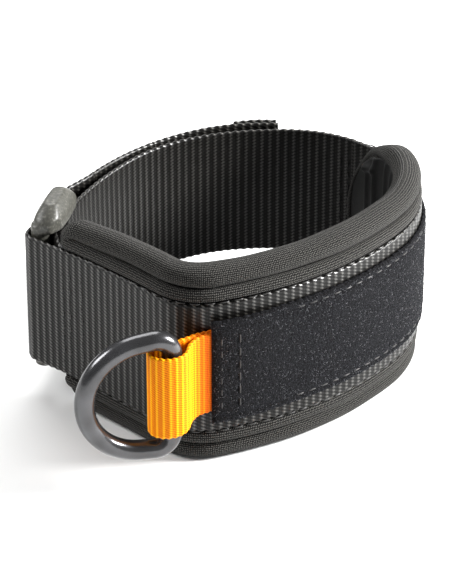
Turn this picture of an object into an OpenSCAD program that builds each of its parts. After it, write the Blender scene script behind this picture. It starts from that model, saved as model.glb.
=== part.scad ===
// Padded limb cuff with a buckled hook-and-loop strap and a tether ring.
// Units are millimetres. +Z is up, along the limb. The origin is on the limb's axis,
// on the plane that the cuff's lower edge rests on.

/* [Pad] */
// Height of the pad, over its rolled edges
pad_h = 60; // [56:1:70]
// Thickness of the closed-cell foam core
foam_t = 5; // [4:0.5:6]
// Thickness of the inner lining cloth
lining_t = 0.7; // [0.4:0.1:1.2]
// Thickness of the outer knit cover
cover_t = 0.8; // [0.4:0.1:1.2]
// Height of the rolled edge binding
roll_h = 6; // [5:0.5:8]
// How far the rolled edge stands past the lining and the cover
roll_proud = 0.7; // [0.2:0.1:1.2]
// Height of the piping between the rolled edge and the webbing
piping_h = 3.4; // [2.4:0.2:3.8]

/* [Webbing] */
// Width of the main webbing
web_w = 40; // [38:1:44]
// Thickness of the main webbing
web_t = 1.4; // [1.2:0.1:1.8]
// Width of the ring tab's webbing
tab_w = 25; // [20:1:25]
// Thickness of the ring tab's webbing
tab_t = 1.3; // [1.0:0.1:1.4]

/* [Closure] */
// Height of the loop panel
loop_w = 32; // [28:1:36]
// Thickness of the loop panel, with its pile
loop_t = 1.2; // [0.8:0.1:1.4]
// Thickness of the hook patch
hook_t = 0.8; // [0.6:0.1:1.0]
// Length of the folded hem at the tail's tip
hem_l = 12; // [9:1:15]

/* [Buckle] */
// Radius of the buckle's two bars
bar_r = 2.7; // [2.2:0.1:3.0]
// Half thickness of the buckle's head, above the webbing
plate_r = 4.2; // [3.8:0.1:4.4]
// Height of the head
plate_h = 7.0; // [4:0.2:8]
// How far the head stands in from the line of the bars
plate_in = 1.8; // [0:0.2:2]
// Height of the slimmer foot, below the webbing
foot_h = 2.2; // [1.8:0.2:4]

/* [Ring] */
// Diameter of the ring's coated steel wire
wire_d = 5.5; // [5:0.5:6]
// Height of the ring between the centres of its arms
ring_h = 34; // [32:0.5:35]
// Bend radius of the ring's two corners, at the wire's centre
corner_r = 5; // [4.5:0.5:6]
// Length of each straight arm between a corner and the bow
arm_l = 3.5; // [3:0.5:8]
// Angle at which the arms draw together
arm_taper = 5; // [3:1:8]
// How far the ring's own weight lets it down in the tab
ring_drop = 0.8; // [0:0.1:1]

/* [Hidden] */
$fn = 32;

// Plan of the cuff: the middle of the webbing's thickness, anticlockwise from the buckle,
// as a chain of arcs. Each arc is its length and the angle that it turns to the left.
plan_start = [-59.3, -18.1, -38];
plan_arcs = [[50, -7], [18, 62.5], [62, 37.5], [34, 50], [48, 69.5], [52, 55], [36, 23.5]];
// Spacing of the stations that the plan is cut at
grid = 3;

// Places along the plan, as distances from its start
keeper_s = 3;
pad_from = 12;
lap_to = 24;
tab_s = 63;
anchor_from = 65.4;
anchor_to = 75;
pad_to = 192;
tail_tip_s = 215.5;
tail_split_b = 240;
tail_split_a = 264;
loop_to = 282;
strap_cut = 288;
turn_s = 297;

// Gap between pieces of strap that move apart
cut_gap = 0.8;
// Gap between the hooks and the loops
grip_gap = 0.3;
// Gap between a bar and the webbing round it
bar_gap = 0.3;

mid_z = pad_h / 2;
web_low = mid_z - web_w / 2;
web_high = mid_z + web_w / 2;
half_t = web_t / 2;
cover_in = -half_t - cover_t;
foam_in = cover_in - foam_t;
lining_in = foam_in - lining_t;
wrap_r = bar_r + bar_gap + half_t;
tail_d = half_t + loop_t + grip_gap + hook_t + half_t;

// One arc from a pose [x, y, heading], or the given part of it
function along_arc(p, arc, part) =
    let (r = arc[0] / (arc[1] * PI / 180), h = p[2] + arc[1] * part)
    [p[0] + r * (sin(h) - sin(p[2])), p[1] - r * (cos(h) - cos(p[2])), h];

// The pose at the start of every arc of a chain, and at its end
function chain_poses(start, arcs) =
    [for (i = 0, p = start; i <= len(arcs);
        p = i < len(arcs) ? along_arc(p, arcs[i], 1) : p, i = i + 1) p];

// Points along a chain of arcs, step apart or a little less
function chain_points(start, arcs, step) =
    let (poses = chain_poses(start, arcs))
    [for (i = [0 : len(arcs) - 1], n = ceil(arcs[i][0] / step), k = [0 : n - 1])
        along_arc(poses[i], arcs[i], k / n), poses[len(arcs)]];

plan_poses = chain_poses(plan_start, plan_arcs);
function sum_to(i) = i <= 0 ? 0 : plan_arcs[i - 1][0] + sum_to(i - 1);
arc_starts = [for (i = [0 : len(plan_arcs)]) sum_to(i)];
function arc_at(s, i = 0) = i >= len(plan_arcs) - 1 || s < arc_starts[i + 1] ? i : arc_at(s, i + 1);

// The pose on the plan at a distance s, and the point d outside it
function plan(s) = let (i = arc_at(s))
    along_arc(plan_poses[i], plan_arcs[i], (s - arc_starts[i]) / plan_arcs[i][0]);
function aside(p, d) = [p[0] + d * sin(p[2]), p[1] - d * cos(p[2])];
function beside(s, d) = aside(plan(s), d);

// Both ends of a stretch, and every station between them
function stations(from, to) = concat([from],
    [for (s = [grid * (floor(from / grid) + 1) : grid : to - 0.01]) s], [to]);
function reversed(list) = [for (i = [len(list) - 1 : -1 : 0]) list[i]];

// A stretch of the cuff's wall, from one distance outside the plan to another
module band(from, to, inner, outer, low, high) {
    stops = stations(from, to);
    translate([0, 0, low])
        linear_extrude(high - low)
            polygon(concat([for (s = stops) beside(s, outer)],
                [for (s = reversed(stops)) beside(s, inner)]));
}

// The same, but set in by the webbing's thickness up to the end of the lapped webbing
module lapped_band(from, to, inner, outer, low, high) {
    lapped = stations(from, lap_to);
    clear = stations(lap_to + grid, to);
    translate([0, 0, low])
        linear_extrude(high - low)
            polygon(concat([for (s = lapped) beside(s, outer - web_t)],
                [for (s = clear) beside(s, outer)],
                [for (s = reversed(clear)) beside(s, inner)],
                [for (s = reversed(lapped)) beside(s, min(inner, outer - web_t - cover_t))]));
}

// A ribbon of thickness t that stands on edge along a list of poses
module ribbon(poses, t, low, high) {
    translate([0, 0, low])
        linear_extrude(high - low)
            polygon(concat([for (p = poses) aside(p, t / 2)],
                [for (p = reversed(poses)) aside(p, -t / 2)]));
}

// A row of stitches along the wall, each a short raised block
stitch_l = 3;
stitch_pitch = 4;
stitch_h = 0.6;
stitch_t = 0.3;
// Gap that keeps stitches clear of the inner face of a curved strap
stitch_gap = 0.08;
module stitch_row(from, to, face, z) {
    for (s = [from : stitch_pitch : to - stitch_l])
        band(s, s + stitch_l, face, face + stitch_t, z - stitch_h / 2, z + stitch_h / 2);
}

// A column of stitches across the wall
module stitch_column(s, face, low, high) {
    for (z = [low : stitch_pitch : high - stitch_l])
        band(s, s + stitch_h, face, face + stitch_t, z, z + stitch_l);
}

// ---- Pad ----

// What is left outside the pad's round free end, for an end of radius r
module end_corners(r) {
    p = plan(pad_to - pad_h / 4);
    translate([p[0], p[1], mid_z])
        rotate([90, 0, p[2]])
            translate([-pad_h / 4, 0, -14])
                linear_extrude(28)
                    difference() {
                        translate([0, -pad_h])
                            square(2 * pad_h);
                        circle(r);
                    }
}

// Foam core, thinner where the webbing's folded end is lapped under it
module pad_foam() {
    color("#55565a")
        difference() {
            lapped_band(pad_from + 2, pad_to - 2, foam_in, cover_in, roll_h, pad_h - roll_h);
            end_corners(mid_z - roll_h);
        }
}

// Smooth cloth against the limb
module pad_lining() {
    color("#262627")
        difference() {
            band(pad_from + 2, pad_to - 2, lining_in, foam_in, roll_h, pad_h - roll_h);
            end_corners(mid_z - roll_h);
        }
}

// Knit cloth over the foam's outer face, stepped in under the lapped webbing
module pad_cover() {
    color("#333231")
        difference() {
            lapped_band(pad_from + 2, pad_to - 2, cover_in, -half_t, roll_h, pad_h - roll_h);
            end_corners(mid_z - roll_h);
        }
}

// Knit binding rolled round the pad's whole edge
module edge_binding() {
    color("#3b3a38")
        difference() {
            band(pad_from, pad_to, lining_in - roll_proud, -half_t + roll_proud, 0, pad_h);
            difference() {
                band(pad_from + 2, pad_to - 2, lining_in - 5, 5, roll_h, pad_h - roll_h);
                end_corners(mid_z - roll_h);
            }
            end_corners(mid_z);
            band(pad_from - 1, lap_to, -half_t - web_t, 5, web_low, web_high);
            band(pad_to - mid_z, pad_to + 1, -half_t, 5, web_low, web_high);
        }
}

// Corded strip that covers the binding's sewn edge
module piping(low) {
    color("#2e2d2d")
        band(lap_to, pad_to - mid_z, -half_t, half_t, low, low + piping_h);
}
module upper_piping() {
    piping(pad_h - roll_h - piping_h);
}
module lower_piping() {
    piping(roll_h);
}

// ---- Webbing ----

// Front webbing: one end goes round the buckle's first bar and is lapped behind itself
keeper_c = beside(keeper_s, -wrap_r);
keeper_h = plan(keeper_s)[2];
lap_line = beside(pad_from, -web_t);
lap_vec = lap_line - keeper_c;
lap_reach = norm(lap_vec);
lap_side = atan2(lap_vec[1], lap_vec[0]) + acos(wrap_r / lap_reach);
keeper_turn = [for (k = [0 : 12])
    let (a = keeper_h - 90 + (lap_side - 360 - keeper_h + 90) * k / 12)
    [keeper_c[0] + wrap_r * cos(a), keeper_c[1] + wrap_r * sin(a), a + 90]];
lap_poses = [for (s = stations(pad_from, lap_to)) let (p = aside(plan(s), -web_t))
    [p[0], p[1], plan(s)[2]]];
module front_webbing() {
    color("#2b2a29") {
        band(keeper_s, pad_to, -half_t, half_t, web_low, web_high);
        ribbon(concat(keeper_turn, [for (p = lap_poses) [p[0], p[1], p[2] + 180]]),
            web_t, web_low, web_high);
    }
}

// Free strap from the pad's end round the back to the buckle
module closure_strap() {
    color("#2b2a29")
        band(pad_to, strap_cut - cut_gap / 2, -half_t, half_t, web_low, web_high);
}

// Soft loop panel, sewn to the outside of the webbing, stepping up over the tab's root
tab_pack = 1.6;
panel_stops = concat([for (s = stations(anchor_from, anchor_to)) [s, tab_pack]],
    [for (s = stations(anchor_to + grid, loop_to)) [s, 0]]);
module loop_panel() {
    inner = [for (p = panel_stops) beside(p[0], half_t + p[1])];
    outer = [for (p = panel_stops) beside(p[0], half_t + loop_t + p[1])];
    color("#1f1e1f")
        translate([0, 0, mid_z - loop_w / 2])
            linear_extrude(loop_w)
                polygon(concat(outer, reversed(inner)));
}

// Sewn root of the ring tab, pressed flat under the loop panel
module tab_anchor() {
    color("#e08a10")
        band(anchor_from, anchor_to, half_t, half_t + tab_pack,
            mid_z - tab_w / 2, mid_z + tab_w / 2);
}

// ---- Stitching ----

module binding_stitching() {
    color("#1c1c1c") {
        stitch_row(lap_to, pad_to - mid_z, half_t, pad_h - roll_h - piping_h / 2);
        stitch_row(lap_to, pad_to - mid_z, half_t, roll_h + piping_h / 2);
    }
}

module panel_stitching() {
    inset = 2;
    face = half_t + loop_t;
    color("#151515") {
        stitch_row(anchor_to + 3, tail_tip_s - 3, face, mid_z - loop_w / 2 + inset);
        stitch_row(anchor_to + 3, tail_tip_s - 3, face, mid_z + loop_w / 2 - inset);
    }
}

module keeper_stitching() {
    color("#1c1c1c")
        for (s = [pad_from + 1.5, pad_from + 5.5, pad_from + 9.5])
            stitch_column(s, half_t, web_low + 3, web_high - 3);
}

module pad_end_stitching() {
    color("#1c1c1c")
        for (s = [pad_to + 1.2, pad_to + 3.8])
            stitch_column(s, -half_t - stitch_t - stitch_gap, web_low + 3, web_high - 3);
}

module tab_stitching() {
    color("#1c1c1c")
        for (s = [anchor_from + 2, anchor_from + 7])
            stitch_column(s, half_t + tab_pack + loop_t, mid_z - tab_w / 2 + 1, mid_z + tab_w / 2 - 1);
}

// ---- Buckle ----

strap_bar_c = beside(turn_s, wrap_r);
bar_vec = strap_bar_c - keeper_c;
bar_span = norm(bar_vec);
slot_gap = 0.5;
slot_low = web_low - slot_gap;
slot_high = web_high + slot_gap;

// One end of the buckle in plan, with round ends, from x to the second bar
module cheek(x, y, r, low, height) {
    translate([x, y, low])
        linear_extrude(height)
            union() {
                circle(r);
                translate([bar_span - x, 0])
                    circle(r);
                translate([0, -r])
                    square([bar_span - x, 2 * r]);
            }
}
module buckle_frame() {
    color("#30302c")
        translate([keeper_c[0], keeper_c[1], 0])
            rotate([0, 0, atan2(bar_vec[1], bar_vec[0])]) {
                for (x = [0, bar_span])
                    translate([x, 0, slot_low - 1])
                        cylinder(h = slot_high - slot_low + 2, r = bar_r);
                cheek(plate_r - bar_r, -plate_in, plate_r, slot_high, plate_h);
                cheek(0, 0, bar_r, slot_low - foot_h, foot_h);
            }
}

// Strap that goes round the buckle's second bar and turns back on itself
turn_h = plan(turn_s)[2];
function tail_offset(s) = let (u = (s - loop_to + 6) / (turn_s - loop_to + 6))
    u <= 0 ? tail_d : tail_d + (2 * wrap_r - tail_d) * u * u * (3 - 2 * u);
function tail_pose(s) = let (p = aside(plan(s), tail_offset(s)), q = aside(plan(s - 0.1),
    tail_offset(s - 0.1))) [p[0], p[1], atan2(p[1] - q[1], p[0] - q[0])];
module strap_turn() {
    from = strap_cut + cut_gap / 2;
    inner_leg = [for (s = stations(from, turn_s)) plan(s)];
    bend = [for (k = [1 : 11]) let (a = turn_h + 90 - 180 * k / 12)
        [strap_bar_c[0] + wrap_r * cos(a), strap_bar_c[1] + wrap_r * sin(a), a - 90]];
    outer_leg = [for (s = reversed(stations(from, turn_s))) let (p = tail_pose(s))
        [p[0], p[1], p[2] - 180]];
    color("#2b2a29")
        ribbon(concat(inner_leg, bend, outer_leg), web_t, web_low, web_high);
}

// ---- Tail: three stretches that peel one after another ----

module tail_web(from, to) {
    color("#2b2a29")
        ribbon([for (s = stations(from, to)) tail_pose(s)], web_t, web_low, web_high);
}
module hook_strip(from, to) {
    color("#222222")
        band(from, to, tail_d - half_t - hook_t, tail_d - half_t,
            mid_z - loop_w / 2 + 1, mid_z + loop_w / 2 - 1);
}
module tail_near() {
    tail_web(tail_split_a + cut_gap / 2, strap_cut - cut_gap / 2);
}
module hook_near() {
    hook_strip(tail_split_a + cut_gap / 2, loop_to - 9);
}
module tail_middle() {
    tail_web(tail_split_b + cut_gap / 2, tail_split_a - cut_gap / 2);
}
module hook_middle() {
    hook_strip(tail_split_b + cut_gap / 2, tail_split_a - cut_gap / 2);
}
module tail_end() {
    tail_web(tail_tip_s, tail_split_b - cut_gap / 2);
}
module hook_end() {
    hook_strip(tail_tip_s + 3, tail_split_b - cut_gap / 2);
}

// Tip of the tail, folded over twice
module tail_hem() {
    color("#2b2a29")
        band(tail_tip_s, tail_tip_s + hem_l, tail_d + half_t, tail_d + half_t + 1.6 * web_t,
            web_low, web_high);
}
module hem_stitching() {
    color("#1c1c1c")
        for (s = [tail_tip_s + hem_l - 3, tail_tip_s + hem_l - 6])
            stitch_column(s, tail_d + half_t + 1.6 * web_t, web_low + 2, web_high - 2);
}

// ---- Tether ----

// Ring tab: a loose loop of webbing, out along its back layer and round to the front layer
tab_hinge = beside(tab_s, 2.4);
tab_heading = 221;
tab_arcs = [[9.8, -32], [9.6, 144], [11.2, 111], [6.4, -35]];
// Distance from the hinge line to where the loop starts, and half the gap between its two layers
root_reach = 1.8;
root_half_gap = 0.7;
tab_start = aside([tab_hinge[0] + root_reach * cos(tab_heading),
    tab_hinge[1] + root_reach * sin(tab_heading), tab_heading], root_half_gap);
module ring_tab() {
    poses = chain_points([tab_start[0], tab_start[1], tab_heading], tab_arcs, 1.5);
    color("#ffa614")
        ribbon(poses, tab_t, mid_z - tab_w / 2, mid_z + tab_w / 2);
}

// D-ring, bent from round steel wire: a straight bar, two corners, two arms and a bow
ring_heading = 197;
bar_place = tab_hinge + [-7.6, -8.0];
arm_in = corner_r * (1 + sin(arm_taper));
arm_z = ring_h / 2 - corner_r * (1 - cos(arm_taper));
bow_in = arm_in + arm_l * cos(arm_taper);
bow_z = arm_z - arm_l * sin(arm_taper);
bow_r = bow_z / cos(arm_taper);
bow_c = bow_in - bow_r * sin(arm_taper);
// A bend is a hair thicker than the straight wire, and runs a few degrees over each end of it
bend_d = wire_d + 0.1;
module wire_bend(r, from, sweep, over) {
    rotate([0, 0, from - over])
        rotate_extrude(angle = sweep + 2 * over)
            translate([r, 0])
                circle(d = bend_d);
}
module d_ring() {
    bar_half = ring_h / 2 - corner_r;
    color("#3c3c3c")
        translate([bar_place[0], bar_place[1], mid_z - ring_drop])
            rotate([0, 0, ring_heading])
                rotate([90, 0, 0]) {
                    rotate([-90, 0, 0])
                        translate([0, 0, -bar_half])
                            cylinder(h = 2 * bar_half, d = wire_d);
                    for (flip = [0, 180])
                        rotate([flip, 0, 0]) {
                            translate([corner_r, bar_half])
                                wire_bend(corner_r, 90 - arm_taper, 90 + arm_taper, 4);
                            translate([arm_in, arm_z])
                                rotate([0, 90, -arm_taper])
                                    cylinder(h = arm_l, d = wire_d);
                        }
                    translate([bow_c, 0])
                        wire_bend(bow_r, arm_taper - 90, 180 - 2 * arm_taper, 1.5);
                }
}

pad_foam();
pad_lining();
pad_cover();
edge_binding();
upper_piping();
lower_piping();
front_webbing();
closure_strap();
loop_panel();
tab_anchor();
binding_stitching();
panel_stitching();
keeper_stitching();
pad_end_stitching();
tab_stitching();
buckle_frame();
strap_turn();
tail_near();
hook_near();
tail_middle();
hook_middle();
tail_end();
hook_end();
tail_hem();
hem_stitching();
ring_tab();
d_ring();
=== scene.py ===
import math
import bpy
import numpy as np
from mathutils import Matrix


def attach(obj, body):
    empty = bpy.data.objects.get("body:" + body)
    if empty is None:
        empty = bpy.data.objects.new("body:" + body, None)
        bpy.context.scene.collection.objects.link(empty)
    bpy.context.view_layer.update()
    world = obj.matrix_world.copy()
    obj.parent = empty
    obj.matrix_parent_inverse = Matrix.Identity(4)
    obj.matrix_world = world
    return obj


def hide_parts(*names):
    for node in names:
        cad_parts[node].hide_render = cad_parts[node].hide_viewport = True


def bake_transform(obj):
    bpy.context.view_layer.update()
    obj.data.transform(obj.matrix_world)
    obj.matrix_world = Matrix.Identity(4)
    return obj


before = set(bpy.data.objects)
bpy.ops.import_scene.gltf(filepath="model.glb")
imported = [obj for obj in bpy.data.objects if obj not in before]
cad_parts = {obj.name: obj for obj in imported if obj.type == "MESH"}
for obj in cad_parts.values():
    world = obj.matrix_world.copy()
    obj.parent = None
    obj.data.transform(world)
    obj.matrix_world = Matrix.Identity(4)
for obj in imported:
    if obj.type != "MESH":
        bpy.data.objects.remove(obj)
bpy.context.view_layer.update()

MM = 0.001
look_at = np.array([-3.5, -12.5, 30.0]) * MM
elevation = math.radians(31)
distance = 0.9

camera = bpy.data.objects.new("camera", bpy.data.cameras.new("camera"))
bpy.context.collection.objects.link(camera)
bpy.context.scene.camera = camera
camera.location = look_at + distance * np.array([0, -math.cos(elevation), math.sin(elevation)])
camera.rotation_euler = (math.pi / 2 - elevation, 0, 0)
camera.data.lens = 198
camera.data.shift_y = -0.012
camera.data.clip_end = 10


def linear(code):
    """An sRGB hex colour as linear light: c / 12.92 for dark values, ((c + 0.055) / 1.055) ^ 2.4 above."""
    c = np.array([int(code[i:i + 2], 16) for i in (0, 2, 4)]) / 255
    return tuple(np.where(c <= 0.04045, c / 12.92, ((c + 0.055) / 1.055) ** 2.4)) + (1.0,)


def new_material(name):
    """An empty material with its output node."""
    material = bpy.data.materials.new(name)
    material.use_nodes = True
    material.node_tree.nodes.clear()
    return material


def add(material, kind, inputs=None, **settings):
    """Add one node. Settings are its own properties, and inputs its sockets, each a value or a socket."""
    n = material.node_tree.nodes.new(kind)
    for key, value in settings.items():
        setattr(n, key, value)
    for key, value in (inputs or {}).items():
        if isinstance(value, bpy.types.NodeSocket):
            material.node_tree.links.new(value, n.inputs[key])
        else:
            n.inputs[key].default_value = value
    return n


def ramp_stops(ramp, stops):
    """Set a colour ramp's stops, each a place from 0 to 1 and an sRGB hex colour."""
    elements = ramp.color_ramp.elements
    while len(elements) < len(stops):
        elements.new(0.5)
    for element, (place, code) in zip(elements, stops):
        element.position = place
        element.color = linear(code)


table_top = new_material("matt white laminate")
shader = add(table_top, "ShaderNodeBsdfPrincipled", {"Base Color": linear("F4F4F3"), "Roughness": 0.75})
add(table_top, "ShaderNodeOutputMaterial", {"Surface": shader.outputs["BSDF"]})
bpy.ops.mesh.primitive_plane_add(size=8, location=(0, 0, 0))
floor = bpy.context.object
floor.name = "floor"
floor.data.materials.append(table_top)

world = bpy.data.worlds.new("studio")
bpy.context.scene.world = world
world.use_nodes = True
world.node_tree.nodes["Background"].inputs["Color"].default_value = linear("F7F9FC")
world.node_tree.nodes["Background"].inputs["Strength"].default_value = 0.26
bpy.context.scene.view_settings.view_transform = "Standard"


def soft_box(name, place, aim, size, power):
    """A square area light at place, in metres, that faces aim."""
    lamp = bpy.data.objects.new(name, bpy.data.lights.new(name, "AREA"))
    bpy.context.collection.objects.link(lamp)
    lamp.data.size = size
    lamp.data.energy = power
    back = np.array(place) - np.array(aim)
    lamp.location = place
    lamp.rotation_euler = (math.atan2(math.hypot(back[0], back[1]), back[2]), 0,
                           math.atan2(back[1], back[0]) + math.pi / 2)


soft_box("left_box", (-0.8, 0.05, 0.6), look_at, 0.4, 6)
soft_box("right_box", (0.8, 0.0, 0.42), look_at, 0.25, 27)
soft_box("top_box", (-0.1, 0.6, 0.9), look_at, 0.7, 9)

# ---- Plan of the cuff ----
# Everything sewn follows the middle of the webbing's thickness, a chain of arcs that starts at the buckle
# and goes round the limb anticlockwise. Distances s along it, d outside it and z above the table are in mm.
PLAN_START = (-59.3, -18.1, math.radians(-38))
ARC_LENGTHS = np.array([50.0, 18, 62, 34, 48, 52, 36])
ARC_TURNS = np.radians([-7.0, 62.5, 37.5, 50, 69.5, 55, 23.5])
MID_Z = 30.0
PAD_HEIGHT = 60.0
WEB_T = 1.4
WEB_W = 40.0
HALF_T = WEB_T / 2
PAD_FROM, PAD_TO = 12.0, 192.0
CORNER_IN = 12.6


def arc_joints(start, lengths, turns):
    """Where each arc of a chain starts: its x, y and heading, and the distance along the chain."""
    heading = start[2] + np.concatenate([[0], np.cumsum(turns)])
    radius = lengths / turns
    dx = radius * (np.sin(heading[1:]) - np.sin(heading[:-1]))
    dy = -radius * (np.cos(heading[1:]) - np.cos(heading[:-1]))
    x = start[0] + np.concatenate([[0], np.cumsum(dx)])
    y = start[1] + np.concatenate([[0], np.cumsum(dy)])
    return x, y, heading, np.concatenate([[0], np.cumsum(lengths)])


def along_chain(start, lengths, turns, s):
    """Position and heading at distances s along a chain of arcs: each arc turns evenly, so with radius r
    a point has moved r (sin h - sin h0) in x and -r (cos h - cos h0) in y, where h is its heading."""
    x0, y0, h0, s0 = arc_joints(start, lengths, turns)
    i = np.clip(np.searchsorted(s0, s, "right") - 1, 0, len(lengths) - 1)
    radius = lengths[i] / turns[i]
    h = h0[i] + (s - s0[i]) / radius
    return x0[i] + radius * (np.sin(h) - np.sin(h0[i])), y0[i] - radius * (np.cos(h) - np.cos(h0[i])), h


def plan(s):
    """Position and heading on the plan at distances s."""
    return along_chain(PLAN_START, ARC_LENGTHS, ARC_TURNS, np.asarray(s, float))


def wall(s, d, z):
    """Points in metres at distance s along the plan, d outside it and z up, for arrays of one shape."""
    s, d, z = np.broadcast_arrays(np.asarray(s, float), d, z)
    x, y, h = plan(s)
    return np.stack([x + d * np.sin(h), y - d * np.cos(h), z], -1) * MM


def smooth(low, high, value):
    """0 up to low, 1 from high, and a smooth cubic step t t (3 - 2 t) between them."""
    t = np.clip((np.asarray(value, float) - low) / (high - low), 0, 1)
    return t * t * (3 - 2 * t)


def sag(s, z):
    """Height of a point of the pad at rest: its upper edge sinks smoothly towards the pad's two ends."""
    sunk = 1.6 * (1 - smooth(PAD_FROM + 2, 42, s)) + 2.0 * smooth(PAD_TO - 42, PAD_TO - 6, s)
    return z - sunk * smooth(MID_Z + WEB_W / 2 + 1, PAD_HEIGHT, z)


def low_corner(s, gap):
    """Height of a line gap mm inside the pad's lower edge and its big lower front corner. The corner is the
    quarter circle zc - r sqrt(1 - ((sc - s) / r)^2), with its centre CORNER_IN from both edges."""
    radius = CORNER_IN - gap
    part = np.clip((PAD_FROM + CORNER_IN - s) / radius, 0, 1)
    return CORNER_IN - radius * np.sqrt(1 - part ** 2)


def signed_volume(points, quads):
    """Volume inside a mesh of quads, negative when its faces point inwards: the sum of a . (b x c) / 6."""
    a, b, c, d = (points[quads[:, k]] for k in range(4))
    return (np.einsum("ij,ij->i", a, np.cross(b, c)) + np.einsum("ij,ij->i", a, np.cross(c, d))).sum() / 6


def make_piece(name, points, quads, material, more_faces=()):
    """A mesh object with smooth faces that point outwards, from lists of points in metres and of quads.
    One that shares its name with a node of the CAD model gets _visual after it."""
    points = points.reshape(-1, 3)
    flip = signed_volume(points, quads) < 0
    faces = (quads[:, ::-1] if flip else quads).tolist()
    faces += [list(f)[::-1] if flip else list(f) for f in more_faces]
    mesh = bpy.data.meshes.new(name)
    mesh.from_pydata(points.tolist(), [], faces)
    mesh.polygons.foreach_set("use_smooth", np.ones(len(mesh.polygons), bool))
    mesh.materials.append(material)
    piece = bpy.data.objects.new(name + "_visual" if name in bpy.data.objects else name, mesh)
    bpy.context.collection.objects.link(piece)
    return piece


def loft(name, points, material, ring=False, cloth=None, relief_and_painted_light=None):
    """A closed surface from rings of points, shaped (rings, points in a ring, 3). Neighbouring rings are
    joined, and the last ring joins the first one if ring is true; otherwise each end ring is closed straight
    across. cloth is each point's place on the cloth in mm. The relief values are how high its thread stands,
    0 to 1, times any painted shade; the materials take their painted highlight and painted shade from them."""
    n, m = points.shape[:2]
    index = np.arange(n * m).reshape(n, m)
    here = index if ring else index[:-1]
    ahead = np.roll(index, -1, 0) if ring else index[1:]
    quads = [np.stack([here, np.roll(here, -1, 1), np.roll(ahead, -1, 1), ahead], -1).reshape(-1, 4)]
    if not ring:
        for row, turned in ((index[0], False), (index[-1], True)):
            near, far = row[:m // 2], row[::-1][:m // 2]
            cap = np.stack([near[:-1], far[:-1], far[1:], near[1:]], -1)
            quads.append(cap[:, ::-1] if turned else cap)
    piece = make_piece(name, points, np.concatenate(quads), material)
    if cloth is not None:
        flat = np.zeros((n * m, 3), np.float32)
        flat[:, 0] = np.broadcast_to(cloth[0], (n, m)).ravel()
        flat[:, 1] = np.broadcast_to(cloth[1], (n, m)).ravel()
        place = piece.data.attributes.new("cloth", "FLOAT_VECTOR", "POINT")
        place.data.foreach_set("vector", flat.ravel())
    if relief_and_painted_light is not None:
        high = np.broadcast_to(relief_and_painted_light, (n, m)).astype(np.float32).ravel()
        height_and_painted_light = piece.data.attributes.new("relief_and_painted_light", "FLOAT", "POINT")
        height_and_painted_light.data.foreach_set("value", high)
    return piece


# ---- Pad core ----
# Closed-cell foam, 5 mm thick, with knit cloth glued over its outer face. It is die-cut with round corners
# and skived thin at its free end, and it is sewn to the webbing inside the rolled edge.
knit = new_material("warp-knit polyester over foam")
# Loops of fine matt yarn in wales 0.45 mm apart, drawn 0.5 mm apart so that they show.
WALE = 0.5
COURSE = 0.62
place = add(knit, "ShaderNodeAttribute", attribute_name="cloth")
loops_at = add(knit, "ShaderNodeMapping", {
    "Vector": place.outputs["Vector"], "Scale": (1 / WALE, 1 / COURSE, 1)})
loops = add(knit, "ShaderNodeTexVoronoi", {
    "Vector": loops_at.outputs["Vector"], "Scale": 1.0, "Randomness": 0.25}, voronoi_dimensions="2D")
blotch = add(knit, "ShaderNodeTexNoise", {"Vector": place.outputs["Vector"], "Scale": 0.9, "Detail": 5.0})
# Painted highlight and painted shade: each loop is painted pale grey at its middle and near black between
# loops.
tone = add(knit, "ShaderNodeValToRGB", {"Fac": loops.outputs["Distance"]})
ramp_stops(tone, [(0.08, "84827C"), (0.28, "2C2B29"), (0.45, "0C0C0C"), (0.7, "040404")])
flattened = add(knit, "ShaderNodeMath", {0: blotch.outputs["Fac"], 1: 0.6}, operation="MULTIPLY")
worn = add(knit, "ShaderNodeMix", {
    "Factor": flattened.outputs[0], "A": tone.outputs["Color"], "B": linear("1C1B1A")}, data_type="RGBA")
dent = add(knit, "ShaderNodeBump", {
    "Height": loops.outputs["Distance"], "Strength": 1.0, "Distance": 0.0003}, invert=True)
shader = add(knit, "ShaderNodeBsdfPrincipled", {
    "Base Color": worn.outputs["Result"], "Roughness": 0.8, "Specular IOR Level": 0.12, "Sheen Weight": 0.06,
    "Sheen Roughness": 0.4, "Normal": dent.outputs["Normal"]})
add(knit, "ShaderNodeOutputMaterial", {"Surface": shader.outputs["BSDF"]})

LAP_TO = 24.0
FOAM_IN = -6.4
s = np.linspace(PAD_FROM + 2, PAD_TO - 1.5, 160)[:, None]
turn = np.linspace(0, 2 * np.pi, 72, endpoint=False)[None, :]
end = np.sqrt(np.clip(1 - np.clip((s - (PAD_TO - 28)) / 26.6, 0, 1) ** 2, 0, 1))
start = np.sqrt(np.clip(1 - np.clip((PAD_FROM + 6 - s) / 4.1, 0, 1) ** 2, 0, 1))
half_z = (PAD_HEIGHT / 2 - 3.2) * np.minimum(0.02 + 0.98 * end, 0.4 + 0.6 * start)
c, q = np.cos(turn), np.sin(turn)
half_z = np.where(c < 0, np.minimum(half_z, MID_Z - low_corner(s, 3.2)), half_z)
z = MID_Z + half_z * np.sign(c) * np.abs(c) ** 0.35
seam = smooth(WEB_W / 2 + 0.4, WEB_W / 2 + 1.6, np.abs(z - MID_Z))
outer = -0.85 - 1.5 * (1 - smooth(LAP_TO, LAP_TO + 3, s)) - 0.5 * (1 - end) - 1.3 * seam
inner = FOAM_IN + 3.2 * smooth(PAD_TO - 14, PAD_TO - 1, s)
d = (outer + inner) / 2 + (outer - inner) / 2 * np.sign(q) * np.abs(q) ** 0.35
pad_core = loft("pad_core", wall(s, d, sag(s, z)), knit, cloth=(s, z + d))
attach(pad_core, "cuff")
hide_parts("pad_foam", "pad_cover")

# ---- Pad lining ----
# Smooth brushed cloth against the limb, cut as one strip and sewn in under the rolled edge.
# Where the pad bends tightly the cloth has nowhere to go and stands up in a few upright folds.
lining_cloth = new_material("brushed polyester lining")
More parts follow.
